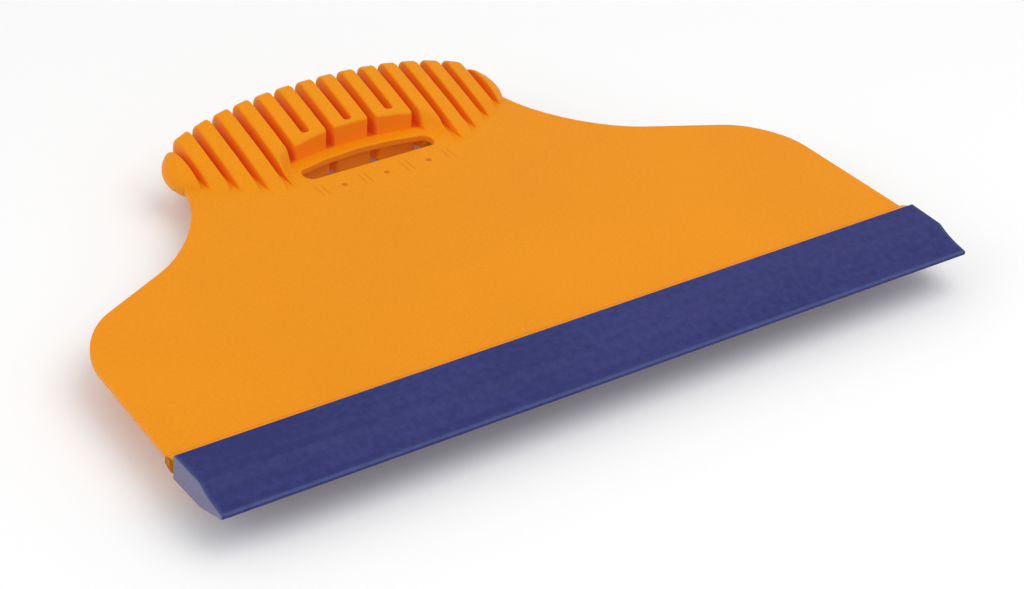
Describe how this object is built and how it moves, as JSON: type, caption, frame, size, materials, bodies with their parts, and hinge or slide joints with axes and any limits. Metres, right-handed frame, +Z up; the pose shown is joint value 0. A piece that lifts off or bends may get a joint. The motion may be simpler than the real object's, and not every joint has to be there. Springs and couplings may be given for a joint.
{
  "type": "squeegee applicator",
  "caption": "Wide hand squeegee applicator: a thin shouldered plastic plate with a ribbed oval grip, a finger slot and a soft rubber wiping lip along its front edge.",
  "frame": {"origin": "bottom centre of the whole object's box, lying flat: the lowest rib crests are at Z = 0", "axes": "+X along the lip, +Y from the lip to the grip, +Z up through the plate's thickness"},
  "size_m": [0.28, 0.1808, 0.0288],
  "materials": {
    "body_plastic": "satin moulded plastic, bright orange",
    "lip_rubber": "soft satin rubber, deep blue"
  },
  "bodies": {
    "root": {"body": "body_plastic", "lip": "lip_rubber"}
  },
  "joints": []
}
